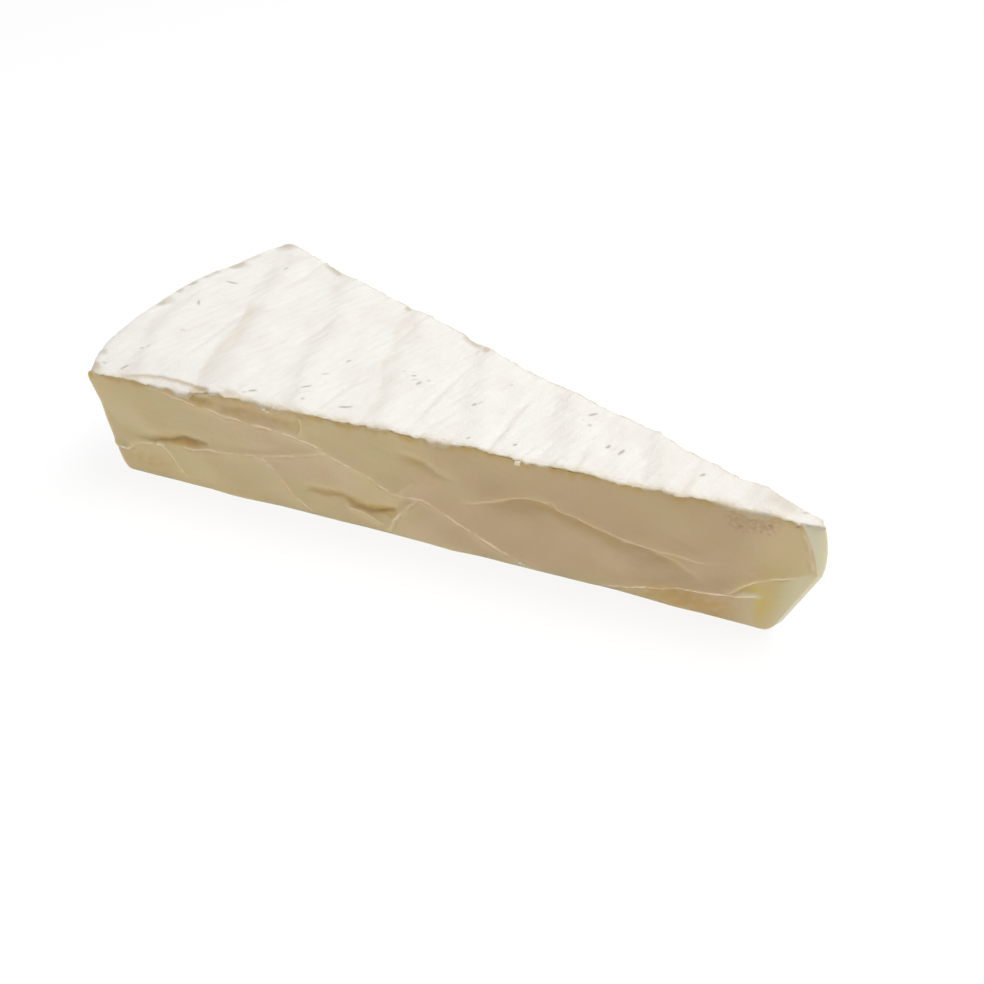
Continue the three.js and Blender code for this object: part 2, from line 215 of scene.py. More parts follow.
# Nicks in the top: place along and across, direction in degrees, length, strength
NICKS = (
    (-166, 10.8, 15, 3.8, 1), (-166, -2, -48, 2.6, 1), (-158.3, 24.2, 80, 1.6, 0.9),
    (-160, -13.8, 40, 1.6, 0.5), (-163, -24.8, 60, 1.1, 0.8), (-162, -23.6, 60, 1, 0.8),
    (-161.5, -32, 68, 2.4, 1), (-167, -33.3, 5, 1.6, 0.5), (-128.1, -24.3, 35, 2.2, 1),
    (-129.4, -25.6, 30, 1.4, 0.5), (-117.5, -10.6, 50, 2, 0.6), (-117.8, -17.2, 57, 2.8, 0.9),
    (-116.2, -3.2, 60, 1.3, 1), (-115.5, -21.4, 60, 1, 0.7), (-105.9, -18.2, 38, 3.6, 1),
    (-99, -0.4, 30, 1.3, 0.9), (-96.6, -2, 75, 1.7, 1), (-95, 0, 60, 1.2, 0.5), (-102, 0, 60, 1, 0.5),
    (-81.2, -2.4, 60, 1.5, 1), (-80.3, -1.2, 60, 1.3, 0.5), (-76.2, -13.4, 60, 1.2, 0.8),
    (-77.6, 9, 60, 1.3, 0.4), (-66.4, -10, 50, 1.1, 0.9), (-56.1, 8.2, 60, 2.8, 1),
    (-55, 3.8, 60, 1.2, 0.7), (-48.5, -0.5, 75, 1.8, 1), (-45.3, -0.6, 75, 2.5, 1),
    (-27.7, 1.5, 60, 1.8, 0.9), (-5.8, 1.7, 40, 1.8, 0.6),
)
# A crack where a strip of the rind came loose along the front cut: distance from the middle, and
# how far in from the cut. The strip is loose between two places, with a slope at each
CRACK = ((163, 0.2), (158, 0.6), (155.5, 1.4), (153, 2.3), (150, 2.6), (146, 2.6), (143, 2.3),
         (140, 1.5), (137, 0.7), (134.5, 0.2))
STRIP = (140.8, 142.2, 153.0, 160.0)
STRIP_DROP = 0.9
# Beside the strip's end the rind is gone: where that place starts and ends, and its depth. The
# crust shows along the crack from there to near its end
BARE = (135.7, 138.2, 140.8, 142.2)
CRUST = (*BARE[:2], 157.0, 162.0)
BARE_DROP = 0.6
# Direction in which the mould was brushed, in degrees
NAP_ANGLE = 76.0

# Worn mould with the crust showing: along the back edge as place and half length, on the top as
# place along and across, radius and strength, and in bands beside the rim from one place across
# to another, with a slope at each end. The bands have a distance from the rim and a width, and lie
# on the rim's rounded top edge, where their crust colour is partly painted shade
WORN_EDGE = ((-147, 4.2), (-117.4, 1.4), (-95, 3.6), (-90, 1))
WORN_EDGE_WIDTH = 1.9
WORN_TOP = ((-167.5, 36, 4, 1.2), (-10, 1.6, 5, 0.7), (-140, 20, 3, 0.3), (-111, 8, 3, 0.3),
            (-98, -13, 3.6, 0.35), (-172.5, -5, 2.4, 0.5), (-169, 20, 3, 0.45),
            (-131.6, -28, 2, 1))
SHADED_WORN_RIM = ((-14, -8, 24, 30), (-42, -38, -32, -27))
SHADED_WORN_RIM_BAND = (2.4, 1.7)

# How far the rind's torn edge hangs down a cut, and the longer tongues of it on the front cut:
# distance from the middle, half length, extra hang, extra thickness and share of bloom kept
RIND_HANG = 0.5
TONGUES = (
    (151, 4.4, 0.5, 0.3, 0.5), (143.8, 2.3, 2.2, 0.9, 0.4), (135.2, 1.3, 1, 0.4, 0.6),
    (131.6, 2.4, 0.2, 0.5, 0.1), (125.6, 3, 0.8, 0.2, 0), (120.2, 4.6, 0.9, 0.2, 0),
    (122.6, 1, 0.2, 0.25, 0.4), (95, 3, 0.3, 0.1, 0), (81.5, 3, 1.6, 0.3, 0), (31, 2, 0.5, 0.2, 0),
    (20.6, 2.4, 0.8, 0.2, 0), (14.5, 3.2, 1.7, 0.3, 0), (6.2, 1.2, 0.3, 0.1, 0.2),
)
# The torn edge: width of its beige fringe, its rounding, and how far inside the cut the rind's
# underside starts
FRINGE = 1.1
EDGE_ROUND = 0.4
UNDER_INSET = 0.7
# How deep the torn edge ends in the paste, on the top and in addition on the rim's wall
EDGE_TUCK = (0.2, 0.5)
# On the rim's wall and along the underside all of it lies inside the paste: its hang and depth
WALL_EDGE = (1.1, 0.8)
FOOT_EDGE = (0.5, 0.05)
# Two more rows close the rind's nose end: how far ahead each is, and how deep in thicknesses
NOSE_END = ((0.4, 0.42), (-0.3, 1.1))

# Crumbs of smeared paste on the front cut: distance, height, length, and how far the middle of each
# is sunk in the cut as a share of half its thickness
CRUMBS = (
    (63.4, 32.5, 1.6, 0.1), (61.2, 1.8, 1.3, 0.3), (60.2, 1.3, 0.7, 0.3), (165.2, 8.5, 1, 0.3),
    (166.4, 8.1, 0.7, 0.3), (153, 13.1, 1.1, 0.3), (122.9, 31.1, 1, 0), (121.9, 30.8, 1, 0),
)
CRUMB_THICKNESS = 1.2

# Points of each mesh
FRONT_COLUMNS = 480
NOSE_COLUMNS = 16
BACK_COLUMNS = 330
RIM_COLUMNS = 12
PASTE_ROWS = 100
RIND_ROWS = 600
RIND_RIM_ROWS = 40
RIND_FOOT_ROWS = 50
RIND_COLUMNS = 108
EDGE_COLUMNS = 8
UNDER_COLUMNS = 8
# The paste starts and ends this far from the underside and the top, and lies this far inside the
# rim. Its last rows turn in under the rind, with an inset and a depth each, and its corners at the
# rim take their first step this wide
PASTE_FOOT = 0.25
PASTE_TOP = 0.3
PASTE_GAP = 0.1
PASTE_CAP = ((0.35, 0.06), (1, 0.35), (3, 0.65), (20, 0.7))
RIM_EDGE = 0.9

# Colours of the paste, of the crumbs and of the mould, beside those in the panel. Some are partly
# painted light: the ripened paste's golden paints shade under the rind's lip and in the hollows, the
# pale nose's tint a glow, the thread's tint a highlight on the creases' crests, the thread's shade
# the shade beside them, and the crust's tint shade along the rim's rounded top edge
TINTS = {
    "clouded": "#dfc7a0", "rosy": "#cfb28c", "ripe": "#d3b06c", "moist": "#e2ca7c", "milky": "#f0edcf",
    "thread": "#f8e2c3", "thread_shade": "#c4a06a", "crumb": "#f4e3c0", "crumb_grain": "#fff6e2",
    "combed": "#e6e3da", "blotched": "#ece5dc", "worn": "#d0c5b2", "fringe": "#dacdb4",
    "torn": "#cfb68a", "nick": "#8d8474",
}


def linear(hex_colour):
    """An sRGB hex colour as linear red, green and blue."""
    parts = [int(hex_colour[i:i + 2], 16) / 255 for i in (1, 3, 5)]
    return tuple(c / 12.92 if c <= 0.04045 else ((c + 0.055) / 1.055) ** 2.4 for c in parts)


class BrieSizes(PropertyGroup):
    rind_thickness: FloatProperty(
        name="Rind thickness", description="Thickness of the white mould rind",
        default=0.0011, min=0.0003, max=0.004, unit="LENGTH")
    crease_share: FloatProperty(
        name="Creases", description="Share of their full depth that the creases in the cuts have",
        default=1.0, min=0.0, max=2.0, subtype="FACTOR")
    crumb_share: FloatProperty(
        name="Crumbs", description="Share of their full size that the crumbs have",
        default=1.0, min=0.2, max=2.0, subtype="FACTOR")


def colour_setting(name, description, hex_colour):
    """A colour in the panel that starts as a hex colour."""
    return FloatVectorProperty(
        name=name, description=description, subtype="COLOR", size=3,
        default=linear(hex_colour), min=0.0, max=1.0)


class BrieColours(PropertyGroup):
    paste: colour_setting("Paste", "Ripe double cream paste", "#ddc998")
    # Painted shade at the bottom of the hollows, darker and yellower like moist paste
    pocket: colour_setting("Pocket", "Paste at the bottom of a hollow, where it is moist", "#c7a159")
    rind: colour_setting("Rind", "White mould on the crests of the rind", "#f3f0ea")
    # Thinner mould, partly painted shade on the ridges' sides that face away from the light
    valley: colour_setting("Rind valley", "Thinner mould with the crust showing through", "#e6ddcf")


def smoothstep(low, high, x):
    """Rises from 0 at low to 1 at high, level at both ends: t squared times (3 - 2 t)."""
    t = np.clip((x - low) / (high - low), 0, 1)
    return t * t * (3 - 2 * t)


def plateau(edges, x):
    """Rises from 0 to 1 between the first two edges and falls back between the last two."""
    return smoothstep(edges[0], edges[1], x) * smoothstep(edges[3], edges[2], x)


def hump(x, width, power=2):
    """1 at 0, falling away to both sides: e to the power of minus x / width raised to a power."""
    return np.exp(-(x / width) ** power)


def patch(along, up, at, level, half, tall, power=4):
    """A soft patch: 1 in its middle, falling away along it by a power and up it by a square."""
    return hump(along - at, half, power) * hump(up - level, tall)


def spot(x, y, at, over, radius):
    """A soft round spot in plan."""
    return hump(x - at, radius) * hump(y - over, radius)


def rounding(radius, short):
    """How far an edge rounded by a radius stands back, at a distance short of the face it turns
    into: the radius less the square root of radius squared minus what is left of it squared."""
    left = np.clip(radius - short, 0, radius)
    return radius - np.sqrt(radius ** 2 - left ** 2)


def waves(parts, place):
    """Sum of sines of a place, each with its own wavelength, height and starting phase."""
    return sum(size * np.sin(2 * np.pi * place / length + WAVE_PHASE * i)
               for i, (length, size) in enumerate(parts))


def ripple(u, v, wavelength, seed, count=18):
    """Even random unevenness of about unit size: a sum of sines of u and v that run in random
    directions, with wavelengths from 0.65 to 1.5 times the one given."""
    rng = np.random.default_rng(seed)
    total = np.zeros(np.broadcast(u, v).shape)
    for angle, stretch, phase in rng.uniform((0, 0.65, 0), (2 * np.pi, 1.5, 2 * np.pi), (count, 3)):
        run = u * math.cos(angle) + v * math.sin(angle)
        total += np.sin(2 * np.pi * run / (wavelength * stretch) + phase)
    return total * math.sqrt(2 / count)


def smooth_line(corners, steps=28):
    """Points of a smooth curve through the corners: cubic pieces whose slopes at the corners are
    the finite differences of the corners over the length of the chords."""
    corners = np.array(corners, float)
    chord = np.hypot(*np.diff(corners, axis=0).T)
    at = np.concatenate(([0], np.cumsum(chord)))
    slopes = np.gradient(corners, at, axis=0)
    where = np.linspace(0, at[-1], steps)
    i = np.clip(np.searchsorted(at, where, side="right") - 1, 0, len(chord) - 1)
    h = chord[i][:, None]
    t = ((where - at[i]) / chord[i])[:, None]
    start, end = corners[i], corners[i + 1]
    return (start * (1 + 2 * t) * (1 - t) ** 2 + end * t * t * (3 - 2 * t)
            + h * slopes[i] * t * (1 - t) ** 2 + h * slopes[i + 1] * t * t * (t - 1))


def nearest(line, along, up):
    """Signed distance of each place from a line, above it where negative, and the share of the
    line's length at which it is nearest. Each piece of the line is tried in turn and the nearest kept."""
    best = np.full(along.shape, np.inf)
    side = np.ones(along.shape)
    share = np.zeros(along.shape)
    pieces = len(line) - 1
    for k in range(pieces):
        (s0, z0), (s1, z1) = line[k], line[k + 1]
        ds, dz = s1 - s0, z1 - z0
        t = np.clip(((along - s0) * ds + (up - z0) * dz) / (ds * ds + dz * dz), 0, 1)
        gap = np.hypot(along - s0 - t * ds, up - z0 - t * dz)
        closer = gap < best
        best = np.where(closer, gap, best)
        side = np.where(closer, np.where(ds * (up - z0) - dz * (along - s0) < 0, -1, 1), side)
        share = np.where(closer, (k + t) / pieces, share)
    return best * side, share


def nearer(off, strength, other_off, other_strength):
    """Of two lines' signed distances and strengths, those of the line that is nearer at each place."""
    closer = np.abs(other_off) < np.abs(off)
    return np.where(closer, other_off, off), np.where(closer, other_strength, strength)


def cut_relief(creases, side, along, up):
    """How far a cut stands out, how deep in a hollow each place is, which sets how much shade is painted
    there, and its signed distance from the nearest pale thread with that thread's strength. A crease
    adds rise times a bell curve of the distance from its line, with one width on each side, faded out
    towards its ends."""
    seed = int(side > 0)
    relief = waves(CUT_WAVES, along + side * up)
    relief = relief + 0.1 * ripple(along, up, 12, 10 + seed) + 0.015 * ripple(along, up, 3.4, 20 + seed)
    pocket = np.zeros(relief.shape)
    thread = np.full(relief.shape, FAR)
    strength = np.zeros(relief.shape)
    wobble = 0.14 * ripple(along, up, 6, 12 + seed) + 0.05 * ripple(along, up, 1.8, 14 + seed)
    share_wanted = bpy.context.scene.brie_sizes.crease_share
    for number, (line, rise, above, below, seam) in enumerate(creases):
        distance, share = nearest(smooth_line(line), along, up)
        distance = distance + wobble
        fade = smoothstep(0, 0.12, share) * smoothstep(0, 0.12, 1 - share)
        if rise < 0:
            fade = np.sin(np.pi * share) ** 0.7
        raised = rise * hump(distance, np.where(distance < 0, above, below)) * fade
        relief = relief + share_wanted * raised
        # Each hollow's depth sets the painted shade in it
        pocket = np.maximum(pocket, -raised)
        if seam:
            uneven = 0.75 + 0.4 * ripple(along, up, 7, 30 + number) + 0.25 * ripple(along, up, 2, 31)
            shown = seam * np.clip(uneven, 0.1, 1.3) * (0.3 + 0.7 * fade)
            thread, strength = nearer(thread, strength, distance, shown)
    if side < 0:
        for s, z, half, tall in SMEARS:
            smear = hump(along - s, half, 4) * hump(up - z, tall, 4)
            thread = thread * (1 - 0.65 * smear)
            strength = np.maximum(strength, smear)
            relief = relief + 0.25 * smear * hump(thread, 0.5)
        for s, z, radius in PITS:
            hole = hump(0.75 * (along - s), radius) * hump(up - z, radius)
            relief = relief - PIT_DEPTH * hole
            # The pits get painted shade too
            pocket = np.maximum(pocket, 1.2 * hole)
    return relief, pocket, thread, strength


def band_phase(x, y):
    """Phase of the mat's ridges: a full turn for each, a little uneven along its length."""
    turn = 2 * np.pi * (x + BAND_SLANT * y - BAND_START) / BAND_PITCH
    return turn + BAND_WANDER * ripple(x, y, 26, 71) + 0.4 * BAND_WANDER * ripple(x, y, 9, 72)


def slat_marks(x, y, shift):
    """Depth of the slats' creases, or of a line shifted along from them, each a bell curve of the
    distance from a crease that wanders a little and is pressed unevenly along its length."""
    total = np.zeros(np.broadcast(x, y).shape)
    for at, strength in SLATS:
        line = at + shift + 0.5 * np.sin(y / 8 + at)
        total += strength * (0.6 + 0.4 * np.sin(y / 5.3 + 2 * at)) * hump(x - line, SLAT_WIDTH)
    return total


def crack_inset(distance):
    """How far in from the front cut the crack lies, at a distance from the middle."""
    return np.interp(distance, *np.array(CRACK)[::-1].T)


def loose_strip(distance, inside):
    """How far the top has come down between the crack and the front cut: where a strip of the rind
    came loose, a small step at the crack and more the nearer the cut, and beside it, where the
    rind is gone, one depth."""
    crack_at = crack_inset(distance)
    past = smoothstep(0.4, -0.4, inside - crack_at)
    leaning = 0.3 + 0.7 * np.clip(1 - inside / crack_at, 0, 1)
    return past * (STRIP_DROP * plateau(STRIP, distance) * leaning + BARE_DROP * plateau(BARE, distance))


def top_height(x, y):
    """Height of the top in plan: level, less a shoulder that sinks towards the rim, most beside
    the front cut, plus a rise towards the nose with a drop at its very end, and the mat's ridges,
    less the slats' creases and the loose strip."""
    inside = y + half_width(-x)
    sunk = SHOULDER_DROP + SHOULDER_EDGE_DROP * hump(inside, SHOULDER_EDGE_REACH)
    shoulder = sunk * smoothstep(SHOULDER_START, RIM_DISTANCE, -x)
    tip = TIP_RISE * smoothstep(*TIP_RISE_REACH, -x) - TIP_DROP * np.exp(np.minimum(x, 0) / TIP_DROP_REACH)
    phase = band_phase(x, y)
    ridge = -BAND_HEIGHT * np.cos(phase + BAND_SKEW * (1 - np.cos(phase)))
    return HEIGHT - shoulder + tip + ridge - SLAT_DEPTH * slat_marks(x, y, 0) - loose_strip(-x, inside)


def half_width(distance):
    """Half the wedge's width: the cuts' slope times the distance, spread a little at the nose."""
    return SLOPE * (distance + NOSE_SPREAD * np.exp(-distance / NOSE_SPREAD_REACH))


def nose_distance(across, up):
    """Distance of the nose's front from the middle: a parabola over its fullest height, a straight
    undercut below it that rounds in at the foot, and corners that stand back, the upper front one most."""
    over = np.maximum(up - NOSE_FULL_HEIGHT, 0) / (HEIGHT - NOSE_FULL_HEIGHT)
    under = np.maximum(NOSE_FULL_HEIGHT - up, 0) / NOSE_FULL_HEIGHT
    facet = np.where(across < 0, FACET_SETBACK * over, 0)
    return (NOSE_TOP_RETREAT * over ** 2 + NOSE_FOOT_RETREAT * under + 0.7 * rounding(NOSE_FOOT_RADIUS, up)
            + (NOSE_ROUNDING + facet) * np.abs(across) - NOSE_OVERHANG)


def rim_distance(across, up):
    """Distance of the rim's skin from the middle: an arc in plan with a flatter place near the back,
    leaning in towards the foot, with its top, its foot and, in plan, its front corner rounded off,
    and a slow waviness between."""
    y = across * half_width(RIM_DISTANCE)
    inside = half_width(RIM_DISTANCE) * (1 + across)
    arc = RIM_DISTANCE - y ** 2 / (2 * RIM_CURVE) - CORNER_SHARE * rounding(CORNER_RADIUS, inside)
    flat_at, flat_reach, flat_depth = RIM_FLAT
    arc = arc - flat_depth * hump(y - flat_at, flat_reach)
    back = rounding(RIM_TOP_RADIUS, HEIGHT - up) + rounding(RIM_FOOT_RADIUS, up)
    wavy = waves(RIM_WAVES, y) * np.sin(np.pi * up / HEIGHT) * (1 - across ** 2)
    return arc - RIM_LEAN * (1 - up / HEIGHT) - back + wavy


def distance_at(along, across, up, inside=0):
    """Distance from the middle of a place that lies a share of the way from the rim to the nose,
    with the rim's end taken some way inside the rim's skin."""
    reach = rim_distance(across, up) - inside
    return reach + (nose_distance(across, up) - reach) * along


def cut_place(side, distance, up):
    """Where a cut's skin lies across the wedge, with its hollow and thread values: half the width,
    plus a bulge of the back cut beside the nose, plus the relief, which fades out at the thin nose,
    at the rim and close to the underside."""
    creases = FRONT_CREASES if side < 0 else BACK_CREASES
    level = up / HEIGHT * top_height(-distance, side * half_width(distance))
    relief, *marks = cut_relief(creases, side, distance, level)
    calm = smoothstep(-FOOT_CALM, FOOT_CALM, up) * smoothstep(-NOSE_OVERHANG, NOSE_CALM, distance)
    calm = calm * smoothstep(RIM_DISTANCE - RIM_CALM[0], RIM_DISTANCE - RIM_CALM[1], distance)
    bulge_at, bulge_reach, bulge = BACK_BULGE
    bulge = bulge * hump(distance - bulge_at, bulge_reach) if side > 0 else 0
    return side * (half_width(distance) + bulge + calm * relief), *marks


def closed_tube(rows):
    """Vertices and faces of a closed body from rows of points, each row a closed loop: squares
    between one row and the next, and a fan of triangles round the middle of each end row."""
    count, around = rows.shape[:2]
    points = np.vstack([rows.reshape(-1, 3), rows[0].mean(0), rows[-1].mean(0)])
    i, j = np.meshgrid(np.arange(count - 1), np.arange(around), indexing="ij")
    right = (j + 1) % around
    this, following = i * around, (i + 1) * around
    squares = np.stack([this + j, this + right, following + right, following + j], -1)
    j = np.arange(around)
    right = (j + 1) % around
    first = np.stack([right, j, np.full(around, count * around)], -1)
    last = np.stack([j, right, np.full(around, count * around + 1)], -1)
    last[:, :2] += (count - 1) * around
    return points, squares.reshape(-1, 4), np.vstack([first, last])


def outward(points, squares, triangles):
    """The same faces, all turned over if the volume that they enclose comes out negative."""
    corners = np.vstack([squares[:, [0, 1, 2]], squares[:, [0, 2, 3]], triangles])
    a, b, c = (points[corners[:, k]] for k in range(3))
    if np.einsum("ij,ij->", a, np.cross(b, c)) < 0:
        return squares[:, ::-1], triangles[:, ::-1]
    return squares, triangles


def make_piece(name, points, squares, triangles, material, slot, marks=None):
    """A smooth shaded object from points in millimetres from the wheel's middle, carried into the
    model's frame. Marks are values at the points that its material reads by name."""
    squares, triangles = outward(points, squares, triangles)
    mesh = bpy.data.meshes.new(name)
    mesh.from_pydata((points * MM + WHEEL_MIDDLE).tolist(), [], squares.tolist() + triangles.tolist())
    for mark, values in (marks or {}).items():
        layer = mesh.attributes.new(mark, "FLOAT", "POINT")
        filled = np.zeros(len(points), np.float32)
        filled[:values.size] = values.ravel()
        layer.data.foreach_set("value", filled)
    mesh.polygons.foreach_set("use_smooth", np.ones(len(mesh.polygons), bool))
    mesh.materials.append(material)
    if mesh.validate():
        raise RuntimeError(f"{name} has faces that aren't valid")
    piece = bpy.data.objects.new(name, mesh)
    bpy.context.scene.collection.objects.link(piece)
    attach(piece, "root")
    return piece


def paste_surface():
    """Rows of loops up the paste: each loop runs along the front cut, round the nose, back along
    the back cut and across the rim end, where it lies just inside the rind. The last rows turn in
    under the rind, each a little lower and further from the edge than the one before."""
    turn = np.linspace(0, 1, FRONT_COLUMNS, endpoint=False)
    nose = np.linspace(-1, 1, NOSE_COLUMNS, endpoint=False)
    home = np.linspace(1, 0, BACK_COLUMNS, endpoint=False)
    rim_edge = 1 - np.array([0, 1, 1.8]) * RIM_EDGE / half_width(RIM_DISTANCE)
    rim = np.concatenate([rim_edge, np.linspace(0.9, -0.9, RIM_COLUMNS), -rim_edge[:0:-1]])
    along = np.concatenate([turn, np.ones(NOSE_COLUMNS), home, np.zeros(len(rim))])
    across = np.concatenate([-np.ones(FRONT_COLUMNS), nose, np.ones(BACK_COLUMNS), rim])
    inside = np.where(along == 0, smoothstep(rim_edge[1], rim_edge[2], np.abs(across)), 0)
    wall = np.linspace(PASTE_FOOT, HEIGHT - PASTE_TOP, PASTE_ROWS)
    cap_inset, cap_depth = zip(*PASTE_CAP)
    inset = np.concatenate([0 * wall, cap_inset])[:, None]
    depth = np.concatenate([0 * wall, cap_depth])[:, None]
    up = np.concatenate([wall, np.full(len(PASTE_CAP), wall[-1])])[:, None]
    along = np.clip(along, inset / RIM_DISTANCE, 1 - inset / RIM_DISTANCE)
    distance = distance_at(along, across, up, inside + PASTE_GAP)
    front, *front_marks = cut_place(-1, distance, up)
    back, *back_marks = cut_place(1, distance, up)
    half = (back - front) / 2
    y = (front + back) / 2 + half * across * np.maximum(1 - inset / half, 0.03)
    rows = np.stack([-distance, y, up / HEIGHT * top_height(-distance, y) - depth], -1)
    marks = [np.where(across < 0, f, b) for f, b in zip(front_marks, back_marks)]
    named = dict(zip(("pocket", "thread", "strength"), marks))
    return rows, named | paste_marks(along, across, distance, up)


def paste_marks(along, across, distance, up):
    """How ripened and shaded, moist, rosy and pale the paste is at each place, for its material to read.
    The ripened paste's golden is partly painted shade under the rind's lip and in the hollows, and the
    pale nose is partly a painted glow.
    """
    front_side = across < 0
    uneven = 0.9 + 0.3 * ripple(distance, 0 * up, 9, 81) + 0.25 * ripple(distance, 0 * up, 2.1, 82)
    # Darker and more golden just under the rind: ripening there, and painted shade under the rind's lip
    under_rind = np.minimum(0.9, np.exp(-(HEIGHT - 0.9 - up) / 0.8))
    speck = 0.85 + 0.18 * ripple(distance, up, 2.4, 83)
    # Golden patches, partly painted shade in the hollows and under the rind's lip
    golden_and_shade = sum(strength * patch(distance, up, *place) for *place, strength in GOLDEN_AND_SHADE)
    leaning = distance + MOIST_LEAN * np.maximum(LEAN_BELOW - up, 0)
    past_crease = np.maximum(smoothstep(*MOIST_END, leaning), smoothstep(*SEAM_HEIGHT, up))
    moist = sum(strength * patch(distance, up, *place, 2) for *place, strength in MOIST)
    reach = plateau(ROSY_REACH, distance) * (0.5 + 0.5 * smoothstep(0, 8, up))
    crumbly = patch(distance, up, *ROSY) * (0.8 + 0.5 * ripple(distance, up, 1.3, 84))
    below_seam = smoothstep(1, -0.5, up - np.interp(distance, *np.array(NOSE_SEAM).T))
    smear_at, smear_up, smear_half, smear_tall = SMEARS[0]
    smeared = patch(distance, up, smear_at - 1, smear_up, smear_half, 0.6 * smear_tall) * front_side
    # Paler near the nose, below its seam and on its facets: a painted glow of light shining through the
    # thin nose, and paler paste; and a pale smear at a thread's end
    milky = 0.45 * smoothstep(7, 1.5, distance) * below_seam + 0.15 * smoothstep(6, 0, distance) + smeared
    return {
        # A little darker towards the foot as well
        "ripe": uneven * under_rind + 0.2 * np.exp(-up / 1.3) + speck * golden_and_shade * front_side,
        "moist": moist * past_crease * front_side,
        "rosy": (0.7 * reach + 1.5 * crumbly) * front_side,
        "milky": np.where(np.abs(across) < 1, 1, milky) * (along > 0.5),
    }


def nick_lines(x, y, inside):
    """Signed distance of each place on the top from the nearest nick or crack, and how strong that
    mark is there: nothing past its ends, most at its middle."""
    off = np.full(x.shape, FAR)
    strength = np.zeros(x.shape)
    for nick_x, nick_y, degrees, length, dark in NICKS:
        reach = np.array([math.cos(math.radians(degrees)), math.sin(math.radians(degrees))]) * length / 2
        distance, share = nearest(((nick_x, nick_y) - reach, (nick_x, nick_y) + reach), x, y)
        off, strength = nearer(off, strength, distance, dark * np.sin(np.pi * share) ** 0.6)
    distance, share = nearest(smooth_line(CRACK), -x, inside)
    return nearer(off, strength, distance, 0.2 * np.sin(np.pi * share) ** 0.5)


def rind_path():
    """Share along the wedge and height at each row of the rind: from the nose along the top to the
    rim, down the rim and back along the underside, with the outward direction of each row."""
    top = np.linspace(1, 0, RIND_ROWS)
    turn = np.linspace(1, -1, RIND_RIM_ROWS)
    rim = HEIGHT / 2 + (HEIGHT / 2) * np.sign(turn) * (1 - (1 - np.abs(turn)) ** 1.6)
    foot = np.linspace(0, 1, RIND_FOOT_ROWS)
    along = np.concatenate([top, np.zeros(RIND_RIM_ROWS - 2), foot])
    up = np.concatenate([np.full(RIND_ROWS, HEIGHT), rim[1:-1], np.zeros(RIND_FOOT_ROWS)])
    step = np.gradient(np.stack([-distance_at(along, 0 * up, up), up], -1), axis=0)
    step /= np.hypot(step[:, :1], step[:, 1:])
    return along, up, np.stack([step[:, 1], -step[:, 0]], -1)


def ragged(place, seed):
    """Torn unevenness along an edge: three sizes of ripple in one direction only."""
    return (0.4 * ripple(place, 0, 9, seed) + 0.4 * ripple(place, 0, 2.8, seed + 1)
            + 0.22 * ripple(place, 0, 1.2, seed + 2))


def torn_edge(start, stand, hang, tuck):
    """Offsets outwards and inwards of the points round the rind's torn edge: a quarter turn from
    start inside the cut to stand outside it, and a slope from there down to tuck inside the paste."""
    t = np.linspace(0, 1, EDGE_COLUMNS + 1)[1:]
    upper = np.minimum(2 * t, 1) * np.pi / 2
    lower = np.maximum(2 * t - 1, 0)
    out = -start + (stand + start) * np.sin(upper) - (stand + tuck) * lower ** 1.4
    return out, hang * (0.4 * (1 - np.cos(upper)) + 0.65 * lower)


def rind_zones(up):
    """How far each height belongs to the rind's top, to its rim wall and to its underside."""
    on_top = smoothstep(HEIGHT - 1.2, HEIGHT, up)
    on_foot = smoothstep(1, 0, up)
    return on_top, (1 - on_top) * (1 - on_foot), on_foot


